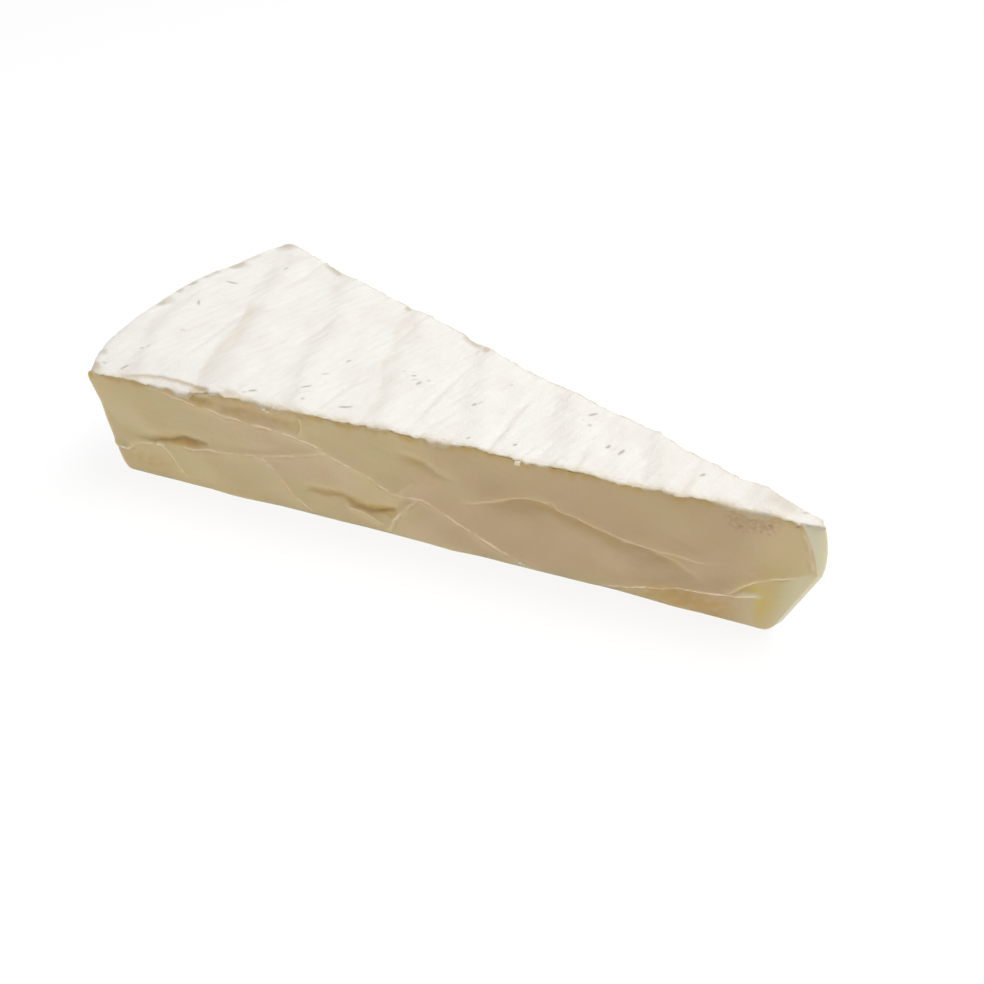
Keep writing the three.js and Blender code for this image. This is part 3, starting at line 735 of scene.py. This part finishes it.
def rind_surface(thickness):
    """Rows of loops along the rind: each loop crosses its outer side from the front cut to the back
    cut, turns down a torn edge, and crosses back underneath, one thickness further in."""
    along, up, normal = (part[:, None] if part.ndim == 1 else part for part in rind_path())
    flat = np.linspace(-1, 1, RIND_COLUMNS)
    across = flat + 0.12 * np.sin(np.pi * flat)
    distance = distance_at(along, across, up)
    s = distance[:, :1]
    on_top, on_wall, on_foot = rind_zones(up)
    front = cut_place(-1, s, up)[0]
    back = cut_place(1, distance[:, -1:], up)[0]
    narrow = np.clip((back - front) / 6, 0.1, 1)
    start = np.minimum(EDGE_ROUND + 0.5 * on_wall, 0.2 * (back - front))
    y = front + start + (back - front - 2 * start) * (1 + across) / 2
    x = -distance

    nap = math.radians(NAP_ANGLE)
    run, off = x * math.cos(nap) + y * math.sin(nap), y * math.cos(nap) - x * math.sin(nap)
    skin = 0.09 * ripple(x, y, 12, 41) + 0.05 * ripple(run / 4, off, 2.6, 42)
    skin = skin + 0.02 * ripple(run / 3, off, 1.3, 43)
    side_skin = 0.12 * ripple(up * 0.6, y, 7, 44) + 0.05 * ripple(up, y, 2.4, 45)
    bump = on_top * skin + on_wall * side_skin
    z = up / HEIGHT * top_height(x, y)
    outer = np.stack([x + normal[:, :1] * bump, y, z + normal[:, 1:] * bump], -1)

    inward = np.concatenate([-normal[:, :1], np.zeros_like(along), -normal[:, 1:]], -1)[:, None, :]
    bloom = np.zeros_like(s)
    edges = []
    for side, seed, corner in ((1, 61, outer[:, -1]), (-1, 51, outer[:, 0])):
        hang = RIND_HANG + 0.45 * ragged(s, seed)
        stand = 0.1 + 0.26 * ragged(s, seed + 4)
        for at, half, extra, thick, kept in TONGUES if side < 0 else ():
            tongue = hump(s - at, half, 4)
            hang = hang + extra * tongue
            stand = stand + thick * tongue
            bloom = np.maximum(bloom, kept * tongue)
        hang = np.clip(hang, 0.4, 4) * on_top + WALL_EDGE[0] * on_wall + FOOT_EDGE[0] * on_foot
        stand = np.clip(stand, -0.2, 1) * on_top - WALL_EDGE[1] * on_wall - FOOT_EDGE[1] * on_foot
        tuck = EDGE_TUCK[0] + EDGE_TUCK[1] * on_wall
        out, deep = torn_edge(start, narrow * stand, hang, narrow * tuck)
        shift = np.stack([0 * out, side * (out + start), 0 * out], -1)
        edges.append(corner[:, None, :] + inward * deep[..., None] + shift)
    back_edge, front_edge = edges[0], edges[1][:, ::-1]

    under_across = np.linspace(0.93, -0.93, UNDER_COLUMNS)
    inset = narrow * UNDER_INSET
    under_y = front + inset + (back - front - 2 * inset) * (1 + under_across) / 2
    under_x = -distance_at(along, under_across, up)
    under_z = up / HEIGHT * top_height(under_x, under_y)
    # Towards the nose the rind thins out to a feather edge
    thin = thickness * (0.5 + 0.5 * smoothstep(0.995, 0.965, along))[..., None]
    under = np.stack([under_x, under_y, under_z], -1) + inward * thin
    rows = np.concatenate([outer, back_edge, under, front_edge], 1)
    for ahead, down in NOSE_END:
        end = rows[:1].copy()
        end[0, :, 0] = np.interp(end[0, :, 1], outer[0, :, 1], outer[0, :, 0]) + ahead
        end[0, :, 2] = np.interp(end[0, :, 1], outer[0, :, 1], outer[0, :, 2]) - down * thickness
        rows = np.concatenate([end, rows])
    rows[..., 2] = np.maximum(rows[..., 2], 0)

    marks = rind_marks(x, y, up, distance, y - front, back - y, across)
    edge = smoothstep(0, 0.6, np.linspace(0, 1, EDGE_COLUMNS))
    torn = np.concatenate([edge ** 3, np.ones(UNDER_COLUMNS), edge[::-1]])
    # Marks of the torn edges and the underside, where they aren't nothing
    rest = {"nick": FAR, "torn": torn * (1 - 0.6 * bloom), "fringe": 1 - bloom}
    marks["fringe"] = marks["fringe"] * (1 - bloom)
    for name, mark in marks.items():
        mark = np.hstack([mark, np.broadcast_to(rest.get(name, 0.0), (len(x), len(torn)))])
        marks[name] = np.vstack([mark[:1], mark[:1], mark])
    marks["torn"][:2] = 0.5
    return rows, marks


def rind_marks(x, y, up, distance, from_front, from_back, across):
    """How the mould looks at each place of the rind's outer side, for its material to read: thin in the
    valleys, with painted shade on the ridges' shaded sides, nicked, rubbed thin, with painted shade on
    the rim's rounded top edge, torn down to the crust, or with a beige fringe beside a torn edge."""
    on_top, _, on_foot = rind_zones(up)
    inside = y + half_width(distance)
    nick, strength = nick_lines(x, y, inside)
    # Thin mould lies on each ridge's steep side, from the line at each ridge's foot on, and along the
    # slats' creases on their far side: both face away from the light, so the mark is partly painted
    # shade. Towards the nose the mould is darker
    past = np.mod(band_phase(x, y) / (2 * np.pi), 1)
    pressed = 0.22 + 0.08 * ripple(x, y, 30, 47) + 0.08 * ripple(x, y, 8, 48)
    pressed = pressed + sum(share * spot(x, y, *place) for *place, share in PRESSED)
    valley = pressed * smoothstep(0, 0.1, past) * hump(past, 0.32)
    valley = np.maximum(valley, 0.7 * slat_marks(x, y, 0.5)) + 0.3 * smoothstep(60, 20, distance)

    worn = sum(share * spot(x, y, *place) for *place, share in WORN_TOP)
    worn = worn + sum(1.2 * patch(x, from_back, at, 0, half, WORN_EDGE_WIDTH) for at, half in WORN_EDGE)
    # The bands on the rim's rounded top edge are partly painted shade
    band_at, band_width = SHADED_WORN_RIM_BAND
    from_rim = rim_distance(across, np.full_like(up, HEIGHT - RIM_TOP_RADIUS)) - distance
    band = hump(from_rim - band_at, band_width) * (up > HEIGHT / 2)
    worn = worn + sum(plateau(edges, y) for edges in SHADED_WORN_RIM) * (0.75 + 0.45 * ripple(y, 0, 5, 46)) * band

    past_crack = inside - crack_inset(distance)
    bare = plateau(BARE, distance) * smoothstep(0.3, -0.3, past_crack)
    crust = plateau(CRUST, distance) * hump(past_crack, 0.5)
    # The torn edges have lost their bloom: a beige fringe, uneven and broken along its length
    inner = np.minimum(from_front, 1.4 * (distance - nose_distance(across, up)))
    broken = np.clip(0.9 + 0.3 * ripple(x, y, 4.5, 49) + 0.25 * ripple(x, y, 1.3, 50), 0.2, 1.4)
    fringe = broken * hump(np.maximum(inner, 0), FRINGE, 1.4)
    fringe = np.maximum(fringe, 0.2 * broken * hump(from_back, FRINGE))
    return {
        "valley": valley * on_top,
        "nick": nick,
        "strength": strength * on_top,
        "worn": worn,
        "torn": np.clip((0.55 * bare + 0.7 * crust) * on_top, 0, 0.8),
        "fringe": fringe * (1 - on_foot),
    }


def crumb_surface(distance, height, length, sunk, seed):
    """Rows of a small lumpy ball sunk in the front cut to its middle or deeper: a sphere by angle,
    drawn out along the cut, with each radius scaled by a ripple."""
    rise = np.linspace(0.16, np.pi - 0.16, 12)[:, None]
    turn = np.linspace(0, 2 * np.pi, 18, endpoint=False)
    ball = np.stack([np.sin(rise) * np.cos(turn), np.sin(rise) * np.sin(turn), np.cos(rise) + 0 * turn], -1)
    radius = 1 + 0.14 * ripple(ball[..., 0] * 2, ball[..., 1] * 2 + ball[..., 2], 1.7, seed)
    half = np.array([length, min(length, CRUMB_THICKNESS), min(length, CRUMB_THICKNESS)]) / 2
    place = np.array([float(distance)]), np.array([float(height)])
    front = cut_place(-1, *place)[0][0] + sunk * half[1]
    shape = ball * radius[..., None] * half * bpy.context.scene.brie_sizes.crumb_share
    return shape + np.array([-distance, front, height])


def join(tubes):
    """One set of points and faces from several closed bodies, each numbered after the last."""
    points, squares, triangles, start = [], [], [], 0
    for rows in tubes:
        p, q, t = closed_tube(rows)
        points.append(p)
        squares.append(q + start)
        triangles.append(t + start)
        start += len(p)
    return np.vstack(points), np.vstack(squares), np.vstack(triangles)


# The functions from here to relief add nodes to a tree, and most give the last one's output
def add(tree, kind, sockets=None, **settings):
    """One node with its settings. Sockets given another node's output are linked to it, and the
    others are set to the value given."""
    made = tree.nodes.new(kind)
    for name, value in settings.items():
        setattr(made, name, value)
    for name, value in (sockets or {}).items():
        if isinstance(value, bpy.types.NodeSocket):
            tree.links.new(value, made.inputs[name])
        else:
            made.inputs[name].default_value = value
    return made


def new_material(name):
    """A node material, and its tree emptied."""
    material = bpy.data.materials.new(name)
    material.use_nodes = True
    material.node_tree.nodes.clear()
    return material, material.node_tree


def end_material(tree, values, **settings):
    """Ends a material's tree with a surface of the values given."""
    skin = add(tree, "ShaderNodeBsdfPrincipled", values, **settings).outputs[0]
    add(tree, "ShaderNodeOutputMaterial", {"Surface": skin})


def read_marks(tree, *names):
    """The marks of a mesh by name."""
    return {name: add(tree, "ShaderNodeAttribute", attribute_name=name).outputs["Fac"] for name in names}


def noise(tree, place, scale, detail=2.0):
    """Soft random unevenness from 0 to 1."""
    values = {"Vector": place, "Scale": scale, "Detail": detail}
    return add(tree, "ShaderNodeTexNoise", values).outputs["Fac"]


def stretched(tree, place, scale, **turn):
    """A place measured with the scale's three lengths as the units, and turned if a Rotation is given."""
    values = {"Vector": place, "Scale": scale} | turn
    return add(tree, "ShaderNodeMapping", values, vector_type="TEXTURE").outputs[0]


def maths(tree, operation, *values):
    """One operation worked out on its values."""
    return add(tree, "ShaderNodeMath", dict(enumerate(values)), operation=operation).outputs[0]


def times(tree, first, second):
    """The product of two values."""
    return maths(tree, "MULTIPLY", first, second)


def bell(tree, value, width):
    """A bell curve: e to the power of minus (value / width) squared."""
    scaled = maths(tree, "DIVIDE", value, width)
    return maths(tree, "EXPONENT", times(tree, times(tree, scaled, scaled), -1.0))


def ramp(tree, value, low, high, most, least=0.0):
    """Goes from least to most as a value goes from low to high."""
    return add(tree, "ShaderNodeMapRange", {0: value, 1: low, 2: high, 3: least, 4: most}).outputs[0]


def mix(tree, share, first, second):
    """Two colours mixed by a share. Each may be an output, a value or the name of a tint."""
    first, second = ((*linear(TINTS[c]), 1) if isinstance(c, str) else c for c in (first, second))
    return add(tree, "ShaderNodeMix", {0: share, 6: first, 7: second}, data_type="RGBA").outputs[2]


def relief(tree, height, strength, deep):
    """The skin's direction, tilted as it would be by a height that goes this deep, in metres."""
    values = {"Height": height, "Strength": strength, "Distance": deep}
    return add(tree, "ShaderNodeBump", values).outputs[0]


def ripened_paste():
    """Ripened double cream paste, cut with a wire and pressed smooth by its wrapping: a milk-white, fatty
    body that light soaks a millimetre or two into, with a satin skin and moister, yellower hollows. The
    hollows and the paste under the rind's lip are darkened with painted shade, the threads' crests are
    lightened with a painted highlight, and the thin nose is lightened with a painted glow."""
    colours = bpy.context.scene.brie_colours
    material, tree = new_material("ripened_paste_wire_cut")
    place = add(tree, "ShaderNodeTexCoord").outputs["Object"]
    marks = read_marks(tree, "pocket", "thread", "strength", "ripe", "moist", "milky", "rosy")
    cloud = ramp(tree, noise(tree, place, 45.0, 3.0), 0.38, 0.62, 1.0)
    body = mix(tree, cloud, (*colours.paste, 1), "clouded")
    body = mix(tree, times(tree, marks["rosy"], 0.8), body, "rosy")
    # Golden ripened paste, partly painted shade under the rind's lip and in the hollows
    body = mix(tree, ramp(tree, marks["ripe"], 0.1, 1.0, 0.8), body, "ripe")
    body = mix(tree, ramp(tree, marks["moist"], 0.05, 1.0, 0.9), body, "moist")
    # Paler paste near the nose, partly a painted glow of light shining through the thin nose
    body = mix(tree, times(tree, marks["milky"], 0.9), body, "milky")
    # Painted shade at the bottom of the hollows and pits, yellowed like moist paste
    body = mix(tree, ramp(tree, marks["pocket"], 0.2, 1.5, 0.9), body, (*colours.pocket, 1))
    # A pale thread of smeared fat 0.6 mm wide, lightened as a painted highlight where the crest catches
    # the light, with the painted shade of its lower edge beside it
    crest_highlight = times(tree, bell(tree, marks["thread"], 0.36), marks["strength"])
    beside = maths(tree, "SUBTRACT", marks["thread"], 0.75)
    shade = times(tree, times(tree, bell(tree, beside, 0.4), marks["strength"]), 0.35)
    body = mix(tree, shade, body, "thread_shade")
    body = mix(tree, times(tree, crest_highlight, 0.85), body, "thread")
    # Fat globules and wipe marks, 0.6 mm grain drawn out to 4 mm up the cut
    drag = noise(tree, stretched(tree, place, (0.0006, 0.0006, 0.004)), 1.0, 3.0)
    uneven = maths(tree, "ADD", drag, noise(tree, place, 1500.0))
    uneven = maths(tree, "MULTIPLY_ADD", crest_highlight, 2.4, uneven)
    end_material(tree, {
        "Base Color": body, "Roughness": ramp(tree, drag, 0.0, 1.0, 0.62, 0.42),
        "Normal": relief(tree, uneven, 0.6, 0.0001), "IOR": 1.45, "Specular IOR Level": 0.4,
        "Subsurface Weight": 0.8, "Subsurface Radius": (1.0, 0.62, 0.3), "Subsurface Scale": 0.0014,
    }, subsurface_method="RANDOM_WALK")
    return material


def smeared_crumbs():
    """Crumbs of paste that dried where they were smeared: paler than the cut, dull and opaque."""
    material, tree = new_material("paste_crumbs_smeared")
    grain = noise(tree, add(tree, "ShaderNodeTexCoord").outputs["Object"], 1200.0)
    end_material(tree, {
        "Base Color": mix(tree, grain, "crumb", "crumb_grain"), "Roughness": 0.7,
        "Normal": relief(tree, grain, 0.5, 0.0001), "Specular IOR Level": 0.3})
    return material


def bloomy_rind():
    """White mould rind, grown on the wheel and brushed down: dry felted threads that scatter light
    softly at every angle, thinner and more beige where the rack pressed, with dark nicks. The beige of
    thin mould is partly painted shade on the sides of the ridges and creases that face away from the
    light, and the crust colour on the rim's rounded top edge is partly painted shade."""
    colours = bpy.context.scene.brie_colours
    material, tree = new_material("bloomy_rind_brushed")
    place = add(tree, "ShaderNodeTexCoord").outputs["Object"]
    marks = read_marks(tree, "valley", "nick", "strength", "worn", "torn", "fringe")
    # Threads of mould combed one way, 1.4 mm apart and 9 mm long
    combed = stretched(tree, place, (0.009, 0.0014, 0.005), Rotation=(0, 0, math.radians(NAP_ANGLE)))
    nap = noise(tree, combed, 1.0, 4.0)
    blotch = noise(tree, place, 90.0, 4.0)
    fuzz = noise(tree, place, 2200.0)
    thin = times(tree, marks["valley"], maths(tree, "MULTIPLY_ADD", nap, 0.9, blotch))
    # Thinner mould, partly painted shade on the shaded sides of the ridges and creases
    body = mix(tree, ramp(tree, thin, 0.15, 0.95, 0.9), (*colours.rind, 1), (*colours.valley, 1))
    body = mix(tree, ramp(tree, nap, 0.55, 0.75, 0.35), body, "combed")
    body = mix(tree, ramp(tree, blotch, 0.45, 0.65, 0.45), body, "blotched")
    # Crust showing where the mould is rubbed thin, partly painted shade along the rim's rounded top edge
    body = mix(tree, ramp(tree, times(tree, marks["worn"], blotch), 0.15, 0.5, 0.9), body, "worn")
    frayed = times(tree, marks["fringe"], ramp(tree, fuzz, 0.0, 1.0, 1.2, 0.7))
    body = mix(tree, ramp(tree, frayed, 0.05, 1.1, 0.95), body, "fringe")
    body = mix(tree, times(tree, marks["torn"], 0.85), body, "torn")
    # Nicks 0.5 mm wide, dark and sunk
    cut = times(tree, times(tree, bell(tree, marks["nick"], 0.3), marks["strength"]), 0.6)
    body = mix(tree, cut, body, "nick")
    high = maths(tree, "MULTIPLY_ADD", nap, 0.6, fuzz)
    high = maths(tree, "MULTIPLY_ADD", cut, -3.0, high)
    end_material(tree, {
        "Base Color": body, "Roughness": 0.95, "Normal": relief(tree, high, 0.6, 0.0002), "IOR": 1.4,
        "Specular IOR Level": 0.2, "Sheen Weight": 0.08, "Sheen Roughness": 0.6})
    return material


class BRIE_OT_add_paste(Operator):
    """Adds the paste: one closed body with the creases, hollows and seams of its two cuts"""
    bl_idname = "brie.add_paste"
    bl_label = "Paste"

    def execute(self, context):
        rows, marks = paste_surface()
        piece = make_piece("brie_paste", *closed_tube(rows), ripened_paste(), "paste", marks)
        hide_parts(NODE)
        return {"FINISHED"}


class BRIE_OT_add_rind(Operator):
    """Adds the white mould rind over the top, the rim and the underside, with its torn edges"""
    bl_idname = "brie.add_rind"
    bl_label = "Rind"

    def execute(self, context):
        rows, marks = rind_surface(context.scene.brie_sizes.rind_thickness / MM)
        piece = make_piece("brie_rind", *closed_tube(rows), bloomy_rind(), "rind", marks)
        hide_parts(NODE)
        return {"FINISHED"}


class BRIE_OT_add_crumbs(Operator):
    """Adds the crumbs of smeared paste that stick to the front cut and its torn rind"""
    bl_idname = "brie.add_crumbs"
    bl_label = "Crumbs"

    def execute(self, context):
        tubes = [crumb_surface(*crumb, seed) for seed, crumb in enumerate(CRUMBS)]
        points, squares, triangles = join(tubes)
        make_piece("brie_crumbs", points, squares, triangles, smeared_crumbs(), "paste")
        return {"FINISHED"}


# The stage: camera place and direction from the photograph, in millimetres from the wheel's middle
EYE = (-3.4, -138.1, 151.6)
VIEW_AZIMUTH = -28.0
VIEW_ELEVATION = 42.92
VIEW_ROLL = 2.39
# Focal length in widths of the frame, which is as wide as the sensor
FOCAL_SHARE = 850 / 984
SENSOR = 36.0
# The lit glass under the wedge: half its width, how far it lies below the underside, both in
# metres, and how brightly it and the room glow
FLOOR_HALF = 3.0
FLOOR_GAP = 0.0001
FLOOR_GLOW = 0.82
ROOM_GLOW = 0.22
# Lights: name, power in watts, size, place and the point that each is turned to, in metres
LIGHTS = (
    ("key_behind_right", 7.4, 0.7, (0.3, 0.42, 0.97), (0, 0, 0.02)),
    ("soft_overhead", 6.0, 1.2, (0.0, -0.1, 1.2), (0, 0, 0)),
)


def look(azimuth, elevation, roll):
    """Camera rotation from the direction of view, in degrees: azimuth turns from +Y towards +X,
    elevation is how far it looks down, and roll turns the picture about its middle."""
    turn, drop = math.radians(azimuth), math.radians(elevation)
    forward = Vector((math.sin(turn) * math.cos(drop), math.cos(turn) * math.cos(drop), -math.sin(drop)))
    right = forward.cross(Vector((0, 0, 1))).normalized()
    up = right.cross(forward)
    level = Matrix((right, up, -forward)).transposed()
    return (level @ Matrix.Rotation(math.radians(roll), 3, "Z")).to_euler()


def add_light(name, energy, size, place, target):
    """A square area light at a place, turned to face a target."""
    lamp = bpy.data.lights.new(name, "AREA")
    lamp.energy = energy
    lamp.size = size
    light = bpy.data.objects.new(name, lamp)
    light.location = place
    light.rotation_euler = (Vector(target) - Vector(place)).to_track_quat("-Z", "Y").to_euler()
    bpy.context.scene.collection.objects.link(light)


class BRIE_OT_add_stage(Operator):
    """Adds the lit glass floor, the two soft lights and the camera at the photograph's view"""
    bl_idname = "brie.add_stage"
    bl_label = "Stage"

    def execute(self, context):
        scene = context.scene
        mesh = bpy.data.meshes.new("floor")
        corners = ((-1, -1), (1, -1), (1, 1), (-1, 1))
        corners = [(x * FLOOR_HALF, y * FLOOR_HALF, -FLOOR_GAP) for x, y in corners]
        mesh.from_pydata(corners, [], [(0, 1, 2, 3)])
        material, tree = new_material("opal_glass_light_table")
        end_material(tree, {
            "Base Color": (0.2, 0.2, 0.2, 1), "Roughness": 0.9, "Specular IOR Level": 0.1,
            "Emission Color": (1, 1, 1, 1), "Emission Strength": FLOOR_GLOW})
        mesh.materials.append(material)
        floor = bpy.data.objects.new("floor", mesh)
        scene.collection.objects.link(floor)

        for light in LIGHTS:
            add_light(*light)
        world = bpy.data.worlds.new("pale_room")
        world.use_nodes = True
        world.node_tree.nodes.clear()
        tree = world.node_tree
        glow = add(tree, "ShaderNodeBackground", {"Color": (1, 1, 1, 1), "Strength": ROOM_GLOW}).outputs[0]
        add(tree, "ShaderNodeOutputWorld", {"Surface": glow})
        scene.world = world
        scene.view_settings.view_transform = "Standard"

        lens = bpy.data.cameras.new("camera")
        lens.sensor_width = SENSOR
        lens.lens = FOCAL_SHARE * SENSOR
        lens.clip_start = 0.01
        camera = bpy.data.objects.new("camera", lens)
        camera.location = Vector(WHEEL_MIDDLE) + Vector(EYE) * MM
        camera.rotation_euler = look(VIEW_AZIMUTH, VIEW_ELEVATION, VIEW_ROLL)
        scene.collection.objects.link(camera)
        scene.camera = camera
        return {"FINISHED"}


OPERATORS = (BRIE_OT_add_paste, BRIE_OT_add_rind, BRIE_OT_add_crumbs, BRIE_OT_add_stage)


class BRIE_PT_panel(Panel):
    """Sizes and colours of the wedge, and a button for each of its pieces"""
    bl_label = "Brie wedge"
    bl_idname = "BRIE_PT_panel"
    bl_space_type = "VIEW_3D"
    bl_region_type = "UI"
    bl_category = "Brie"

    def draw(self, context):
        for group in (context.scene.brie_sizes, context.scene.brie_colours):
            for name in group.__annotations__:
                self.layout.prop(group, name)
        for operator in OPERATORS:
            self.layout.operator(operator.bl_idname)


CLASSES = (BrieSizes, BrieColours, *OPERATORS, BRIE_PT_panel)


def register():
    for entry in CLASSES:
        bpy.utils.register_class(entry)
    bpy.types.Scene.brie_sizes = PointerProperty(type=BrieSizes)
    bpy.types.Scene.brie_colours = PointerProperty(type=BrieColours)


def unregister():
    del bpy.types.Scene.brie_colours
    del bpy.types.Scene.brie_sizes
    for entry in reversed(CLASSES):
        bpy.utils.unregister_class(entry)


def main():
    register()
    for operator in OPERATORS:
        group, name = operator.bl_idname.split(".")
        getattr(getattr(bpy.ops, group), name)()


if __name__ == "__main__":
    main()
